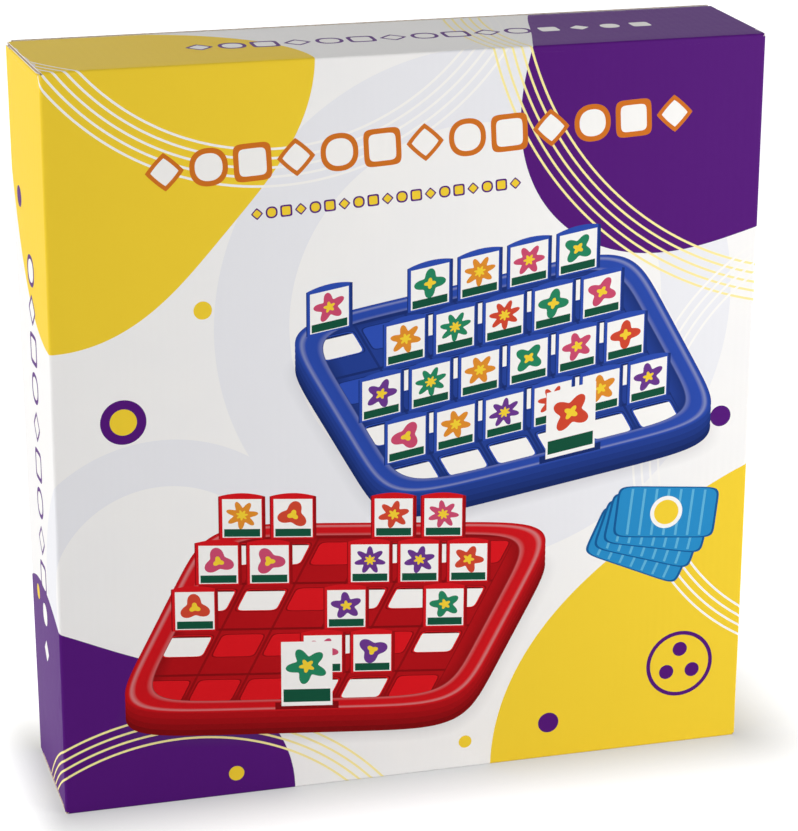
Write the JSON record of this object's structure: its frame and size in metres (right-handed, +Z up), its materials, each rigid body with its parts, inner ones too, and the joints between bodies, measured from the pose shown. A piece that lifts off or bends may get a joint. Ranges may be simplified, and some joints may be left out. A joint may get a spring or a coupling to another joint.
{
  "type": "face guessing flip game",
  "caption": "Upright cardboard game carton with tuck flaps that fold open, holding two facing plastic trays of hinged flip frames on packs of picture cards.",
  "frame": {"origin": "middle of the carton's base, on the surface that it stands on", "axes": "+X to the right seen from the front, +Y to the carton's back, +Z up"},
  "size_m": [0.27, 0.058, 0.284],
  "materials": {
    "printed_board": "white coated micro-flute board with purple and yellow print, satin, brown flutes on raw edges",
    "card_stock": "coated playing card stock with blue printed backs",
    "red_plastic": "moulded red polystyrene, glossy with a fine texture",
    "blue_plastic": "moulded blue polystyrene, glossy with a fine texture"
  },
  "bodies": {
    "carton": {"carton_body": "printed_board", "card_packs": "card_stock"},
    "top_closure": {"top_closure": "printed_board"},
    "top_tongue": {"top_tongue": "printed_board"},
    "top_dust_flap_left": {"top_dust_flap_left": "printed_board"},
    "top_dust_flap_right": {"top_dust_flap_right": "printed_board"},
    "bottom_closure": {"bottom_closure": "printed_board"},
    "bottom_tongue": {"bottom_tongue": "printed_board"},
    "bottom_dust_flap_left": {"bottom_dust_flap_left": "printed_board"},
    "bottom_dust_flap_right": {"bottom_dust_flap_right": "printed_board"},
    "red_tray": {"red_tray": "red_plastic"},
    "blue_tray": {"blue_tray": "blue_plastic"},
    "red_flip_frame_a1": {"red_flip_frame_a1": "red_plastic"},
    "red_flip_frame_a2": {"red_flip_frame_a2": "red_plastic"},
    "red_flip_frame_a3": {"red_flip_frame_a3": "red_plastic"},
    "red_flip_frame_a4": {"red_flip_frame_a4": "red_plastic"},
    "red_flip_frame_a5": {"red_flip_frame_a5": "red_plastic"},
    "red_flip_frame_a6": {"red_flip_frame_a6": "red_plastic"},
    "red_flip_frame_b1": {"red_flip_frame_b1": "red_plastic"},
    "red_flip_frame_b2": {"red_flip_frame_b2": "red_plastic"},
    "red_flip_frame_b3": {"red_flip_frame_b3": "red_plastic"},
    "red_flip_frame_b4": {"red_flip_frame_b4": "red_plastic"},
    "red_flip_frame_b5": {"red_flip_frame_b5": "red_plastic"},
    "red_flip_frame_b6": {"red_flip_frame_b6": "red_plastic"},
    "red_flip_frame_c1": {"red_flip_frame_c1": "red_plastic"},
    "red_flip_frame_c2": {"red_flip_frame_c2": "red_plastic"},
    "red_flip_frame_c3": {"red_flip_frame_c3": "red_plastic"},
    "red_flip_frame_c4": {"red_flip_frame_c4": "red_plastic"},
    "red_flip_frame_c5": {"red_flip_frame_c5": "red_plastic"},
    "red_flip_frame_c6": {"red_flip_frame_c6": "red_plastic"},
    "red_flip_frame_d1": {"red_flip_frame_d1": "red_plastic"},
    "red_flip_frame_d2": {"red_flip_frame_d2": "red_plastic"},
    "red_flip_frame_d3": {"red_flip_frame_d3": "red_plastic"},
    "red_flip_frame_d4": {"red_flip_frame_d4": "red_plastic"},
    "red_flip_frame_d5": {"red_flip_frame_d5": "red_plastic"},
    "red_flip_frame_d6": {"red_flip_frame_d6": "red_plastic"},
    "blue_flip_frame_a1": {"blue_flip_frame_a1": "blue_plastic"},
    "blue_flip_frame_a2": {"blue_flip_frame_a2": "blue_plastic"},
    "blue_flip_frame_a3": {"blue_flip_frame_a3": "blue_plastic"},
    "blue_flip_frame_a4": {"blue_flip_frame_a4": "blue_plastic"},
    "blue_flip_frame_a5": {"blue_flip_frame_a5": "blue_plastic"},
    "blue_flip_frame_a6": {"blue_flip_frame_a6": "blue_plastic"},
    "blue_flip_frame_b1": {"blue_flip_frame_b1": "blue_plastic"},
    "blue_flip_frame_b2": {"blue_flip_frame_b2": "blue_plastic"},
    "blue_flip_frame_b3": {"blue_flip_frame_b3": "blue_plastic"},
    "blue_flip_frame_b4": {"blue_flip_frame_b4": "blue_plastic"},
    "blue_flip_frame_b5": {"blue_flip_frame_b5": "blue_plastic"},
    "blue_flip_frame_b6": {"blue_flip_frame_b6": "blue_plastic"},
    "blue_flip_frame_c1": {"blue_flip_frame_c1": "blue_plastic"},
    "blue_flip_frame_c2": {"blue_flip_frame_c2": "blue_plastic"},
    "blue_flip_frame_c3": {"blue_flip_frame_c3": "blue_plastic"},
    "blue_flip_frame_c4": {"blue_flip_frame_c4": "blue_plastic"},
    "blue_flip_frame_c5": {"blue_flip_frame_c5": "blue_plastic"},
    "blue_flip_frame_c6": {"blue_flip_frame_c6": "blue_plastic"},
    "blue_flip_frame_d1": {"blue_flip_frame_d1": "blue_plastic"},
    "blue_flip_frame_d2": {"blue_flip_frame_d2": "blue_plastic"},
    "blue_flip_frame_d3": {"blue_flip_frame_d3": "blue_plastic"},
    "blue_flip_frame_d4": {"blue_flip_frame_d4": "blue_plastic"},
    "blue_flip_frame_d5": {"blue_flip_frame_d5": "blue_plastic"},
    "blue_flip_frame_d6": {"blue_flip_frame_d6": "blue_plastic"}
  },
  "joints": [
    {"name": "top_closure_fold", "type": "hinge", "parent": "carton", "child": "top_closure", "pos_m": [0, -0.029, 0.284], "axis": [1, 0, 0], "range_deg": [0, 180]},
    {"name": "top_tongue_fold", "type": "hinge", "parent": "top_closure", "child": "top_tongue", "pos_m": [0, 0.0274, 0.284], "axis": [1, 0, 0], "range_deg": [0, 45]},
    {"name": "top_dust_flap_left_fold", "type": "hinge", "parent": "carton", "child": "top_dust_flap_left", "pos_m": [-0.135, 0, 0.2824], "axis": [0, -1, 0], "range_deg": [0, 90]},
    {"name": "top_dust_flap_right_fold", "type": "hinge", "parent": "carton", "child": "top_dust_flap_right", "pos_m": [0.135, 0, 0.2824], "axis": [0, 1, 0], "range_deg": [0, 90]},
    {"name": "bottom_closure_fold", "type": "hinge", "parent": "carton", "child": "bottom_closure", "pos_m": [0, -0.029, 0], "axis": [-1, 0, 0], "range_deg": [0, 180]},
    {"name": "bottom_tongue_fold", "type": "hinge", "parent": "bottom_closure", "child": "bottom_tongue", "pos_m": [0, 0.0274, 0], "axis": [-1, 0, 0], "range_deg": [0, 45]},
    {"name": "bottom_dust_flap_left_fold", "type": "hinge", "parent": "carton", "child": "bottom_dust_flap_left", "pos_m": [-0.135, 0, 0.0016], "axis": [0, 1, 0], "range_deg": [0, 90]},
    {"name": "bottom_dust_flap_right_fold", "type": "hinge", "parent": "carton", "child": "bottom_dust_flap_right", "pos_m": [0.135, 0, 0.0016], "axis": [0, -1, 0], "range_deg": [0, 90]},
    {"name": "red_tray_lift", "type": "slide", "parent": "carton", "child": "red_tray", "axis": [0, 0, 1], "range_m": [0, 0.01]},
    {"name": "blue_tray_lift", "type": "slide", "parent": "carton", "child": "blue_tray", "axis": [0, 0, 1], "range_m": [0, 0.01]},
    {"name": "red_flip_a1", "type": "hinge", "parent": "red_tray", "child": "red_flip_frame_a1", "pos_m": [0.0976, -0.0231, 0.2502], "axis": [1, 0, 0], "range_deg": [0, 99]},
    {"name": "red_flip_a2", "type": "hinge", "parent": "red_tray", "child": "red_flip_frame_a2", "pos_m": [0.0616, -0.0231, 0.2502], "axis": [1, 0, 0], "range_deg": [0, 99]},
    {"name": "red_flip_a3", "type": "hinge", "parent": "red_tray", "child": "red_flip_frame_a3", "pos_m": [0.0256, -0.0231, 0.2502], "axis": [1, 0, 0], "range_deg": [0, 99]},
    {"name": "red_flip_a4", "type": "hinge", "parent": "red_tray", "child": "red_flip_frame_a4", "pos_m": [-0.0104, -0.0231, 0.2502], "axis": [1, 0, 0], "range_deg": [0, 99]},
    {"name": "red_flip_a5", "type": "hinge", "parent": "red_tray", "child": "red_flip_frame_a5", "pos_m": [-0.0464, -0.0231, 0.2502], "axis": [1, 0, 0], "range_deg": [0, 99]},
    {"name": "red_flip_a6", "type": "hinge", "parent": "red_tray", "child": "red_flip_frame_a6", "pos_m": [-0.0824, -0.0231, 0.2502], "axis": [1, 0, 0], "range_deg": [0, 99]},
    {"name": "red_flip_b1", "type": "hinge", "parent": "red_tray", "child": "red_flip_frame_b1", "pos_m": [0.0976, -0.0231, 0.1887], "axis": [1, 0, 0], "range_deg": [0, 99]},
    {"name": "red_flip_b2", "type": "hinge", "parent": "red_tray", "child": "red_flip_frame_b2", "pos_m": [0.0616, -0.0231, 0.1887], "axis": [1, 0, 0], "range_deg": [0, 99]},
    {"name": "red_flip_b3", "type": "hinge", "parent": "red_tray", "child": "red_flip_frame_b3", "pos_m": [0.0256, -0.0231, 0.1887], "axis": [1, 0, 0], "range_deg": [0, 99]},
    {"name": "red_flip_b4", "type": "hinge", "parent": "red_tray", "child": "red_flip_frame_b4", "pos_m": [-0.0104, -0.0231, 0.1887], "axis": [1, 0, 0], "range_deg": [0, 99]},
    {"name": "red_flip_b5", "type": "hinge", "parent": "red_tray", "child": "red_flip_frame_b5", "pos_m": [-0.0464, -0.0231, 0.1887], "axis": [1, 0, 0], "range_deg": [0, 99]},
    {"name": "red_flip_b6", "type": "hinge", "parent": "red_tray", "child": "red_flip_frame_b6", "pos_m": [-0.0824, -0.0231, 0.1887], "axis": [1, 0, 0], "range_deg": [0, 99]},
    {"name": "red_flip_c1", "type": "hinge", "parent": "red_tray", "child": "red_flip_frame_c1", "pos_m": [0.0976, -0.0231, 0.1272], "axis": [1, 0, 0], "range_deg": [0, 99]},
    {"name": "red_flip_c2", "type": "hinge", "parent": "red_tray", "child": "red_flip_frame_c2", "pos_m": [0.0616, -0.0231, 0.1272], "axis": [1, 0, 0], "range_deg": [0, 99]},
    {"name": "red_flip_c3", "type": "hinge", "parent": "red_tray", "child": "red_flip_frame_c3", "pos_m": [0.0256, -0.0231, 0.1272], "axis": [1, 0, 0], "range_deg": [0, 99]},
    {"name": "red_flip_c4", "type": "hinge", "parent": "red_tray", "child": "red_flip_frame_c4", "pos_m": [-0.0104, -0.0231, 0.1272], "axis": [1, 0, 0], "range_deg": [0, 99]},
    {"name": "red_flip_c5", "type": "hinge", "parent": "red_tray", "child": "red_flip_frame_c5", "pos_m": [-0.0464, -0.0231, 0.1272], "axis": [1, 0, 0], "range_deg": [0, 99]},
    {"name": "red_flip_c6", "type": "hinge", "parent": "red_tray", "child": "red_flip_frame_c6", "pos_m": [-0.0824, -0.0231, 0.1272], "axis": [1, 0, 0], "range_deg": [0, 99]},
    {"name": "red_flip_d1", "type": "hinge", "parent": "red_tray", "child": "red_flip_frame_d1", "pos_m": [0.0976, -0.0231, 0.0657], "axis": [1, 0, 0], "range_deg": [0, 99]},
    {"name": "red_flip_d2", "type": "hinge", "parent": "red_tray", "child": "red_flip_frame_d2", "pos_m": [0.0616, -0.0231, 0.0657], "axis": [1, 0, 0], "range_deg": [0, 99]},
    {"name": "red_flip_d3", "type": "hinge", "parent": "red_tray", "child": "red_flip_frame_d3", "pos_m": [0.0256, -0.0231, 0.0657], "axis": [1, 0, 0], "range_deg": [0, 99]},
    {"name": "red_flip_d4", "type": "hinge", "parent": "red_tray", "child": "red_flip_frame_d4", "pos_m": [-0.0104, -0.0231, 0.0657], "axis": [1, 0, 0], "range_deg": [0, 99]},
    {"name": "red_flip_d5", "type": "hinge", "parent": "red_tray", "child": "red_flip_frame_d5", "pos_m": [-0.0464, -0.0231, 0.0657], "axis": [1, 0, 0], "range_deg": [0, 99]},
    {"name": "red_flip_d6", "type": "hinge", "parent": "red_tray", "child": "red_flip_frame_d6", "pos_m": [-0.0824, -0.0231, 0.0657], "axis": [1, 0, 0], "range_deg": [0, 99]},
    {"name": "blue_flip_a1", "type": "hinge", "parent": "blue_tray", "child": "blue_flip_frame_a1", "pos_m": [-0.0976, 0.01841, 0.2502], "axis": [1, 0, 0], "range_deg": [-99, 0]},
    {"name": "blue_flip_a2", "type": "hinge", "parent": "blue_tray", "child": "blue_flip_frame_a2", "pos_m": [-0.0616, 0.01841, 0.2502], "axis": [1, 0, 0], "range_deg": [-99, 0]},
    {"name": "blue_flip_a3", "type": "hinge", "parent": "blue_tray", "child": "blue_flip_frame_a3", "pos_m": [-0.0256, 0.01841, 0.2502], "axis": [1, 0, 0], "range_deg": [-99, 0]},
    {"name": "blue_flip_a4", "type": "hinge", "parent": "blue_tray", "child": "blue_flip_frame_a4", "pos_m": [0.0104, 0.01841, 0.2502], "axis": [1, 0, 0], "range_deg": [-99, 0]},
    {"name": "blue_flip_a5", "type": "hinge", "parent": "blue_tray", "child": "blue_flip_frame_a5", "pos_m": [0.0464, 0.01841, 0.2502], "axis": [1, 0, 0], "range_deg": [-99, 0]},
    {"name": "blue_flip_a6", "type": "hinge", "parent": "blue_tray", "child": "blue_flip_frame_a6", "pos_m": [0.0824, 0.01841, 0.2502], "axis": [1, 0, 0], "range_deg": [-99, 0]},
    {"name": "blue_flip_b1", "type": "hinge", "parent": "blue_tray", "child": "blue_flip_frame_b1", "pos_m": [-0.0976, 0.01841, 0.1887], "axis": [1, 0, 0], "range_deg": [-99, 0]},
    {"name": "blue_flip_b2", "type": "hinge", "parent": "blue_tray", "child": "blue_flip_frame_b2", "pos_m": [-0.0616, 0.01841, 0.1887], "axis": [1, 0, 0], "range_deg": [-99, 0]},
    {"name": "blue_flip_b3", "type": "hinge", "parent": "blue_tray", "child": "blue_flip_frame_b3", "pos_m": [-0.0256, 0.01841, 0.1887], "axis": [1, 0, 0], "range_deg": [-99, 0]},
    {"name": "blue_flip_b4", "type": "hinge", "parent": "blue_tray", "child": "blue_flip_frame_b4", "pos_m": [0.0104, 0.01841, 0.1887], "axis": [1, 0, 0], "range_deg": [-99, 0]},
    {"name": "blue_flip_b5", "type": "hinge", "parent": "blue_tray", "child": "blue_flip_frame_b5", "pos_m": [0.0464, 0.01841, 0.1887], "axis": [1, 0, 0], "range_deg": [-99, 0]},
    {"name": "blue_flip_b6", "type": "hinge", "parent": "blue_tray", "child": "blue_flip_frame_b6", "pos_m": [0.0824, 0.01841, 0.1887], "axis": [1, 0, 0], "range_deg": [-99, 0]},
    {"name": "blue_flip_c1", "type": "hinge", "parent": "blue_tray", "child": "blue_flip_frame_c1", "pos_m": [-0.0976, 0.01841, 0.1272], "axis": [1, 0, 0], "range_deg": [-99, 0]},
    {"name": "blue_flip_c2", "type": "hinge", "parent": "blue_tray", "child": "blue_flip_frame_c2", "pos_m": [-0.0616, 0.01841, 0.1272], "axis": [1, 0, 0], "range_deg": [-99, 0]},
    {"name": "blue_flip_c3", "type": "hinge", "parent": "blue_tray", "child": "blue_flip_frame_c3", "pos_m": [-0.0256, 0.01841, 0.1272], "axis": [1, 0, 0], "range_deg": [-99, 0]},
    {"name": "blue_flip_c4", "type": "hinge", "parent": "blue_tray", "child": "blue_flip_frame_c4", "pos_m": [0.0104, 0.01841, 0.1272], "axis": [1, 0, 0], "range_deg": [-99, 0]},
    {"name": "blue_flip_c5", "type": "hinge", "parent": "blue_tray", "child": "blue_flip_frame_c5", "pos_m": [0.0464, 0.01841, 0.1272], "axis": [1, 0, 0], "range_deg": [-99, 0]},
    {"name": "blue_flip_c6", "type": "hinge", "parent": "blue_tray", "child": "blue_flip_frame_c6", "pos_m": [0.0824, 0.01841, 0.1272], "axis": [1, 0, 0], "range_deg": [-99, 0]},
    {"name": "blue_flip_d1", "type": "hinge", "parent": "blue_tray", "child": "blue_flip_frame_d1", "pos_m": [-0.0976, 0.01841, 0.0657], "axis": [1, 0, 0], "range_deg": [-99, 0]},
    {"name": "blue_flip_d2", "type": "hinge", "parent": "blue_tray", "child": "blue_flip_frame_d2", "pos_m": [-0.0616, 0.01841, 0.0657], "axis": [1, 0, 0], "range_deg": [-99, 0]},
    {"name": "blue_flip_d3", "type": "hinge", "parent": "blue_tray", "child": "blue_flip_frame_d3", "pos_m": [-0.0256, 0.01841, 0.0657], "axis": [1, 0, 0], "range_deg": [-99, 0]},
    {"name": "blue_flip_d4", "type": "hinge", "parent": "blue_tray", "child": "blue_flip_frame_d4", "pos_m": [0.0104, 0.01841, 0.0657], "axis": [1, 0, 0], "range_deg": [-99, 0]},
    {"name": "blue_flip_d5", "type": "hinge", "parent": "blue_tray", "child": "blue_flip_frame_d5", "pos_m": [0.0464, 0.01841, 0.0657], "axis": [1, 0, 0], "range_deg": [-99, 0]},
    {"name": "blue_flip_d6", "type": "hinge", "parent": "blue_tray", "child": "blue_flip_frame_d6", "pos_m": [0.0824, 0.01841, 0.0657], "axis": [1, 0, 0], "range_deg": [-99, 0]}
  ],
  "couplings": [
    {"joint": "top_tongue_fold", "follows": "top_closure_fold", "ratio": 0.25},
    {"joint": "top_dust_flap_left_fold", "follows": "top_closure_fold", "ratio": 0.5},
    {"joint": "top_dust_flap_right_fold", "follows": "top_closure_fold", "ratio": 0.5},
    {"joint": "bottom_tongue_fold", "follows": "bottom_closure_fold", "ratio": 0.25},
    {"joint": "bottom_dust_flap_left_fold", "follows": "bottom_closure_fold", "ratio": 0.5},
    {"joint": "bottom_dust_flap_right_fold", "follows": "bottom_closure_fold", "ratio": 0.5}
  ]
}
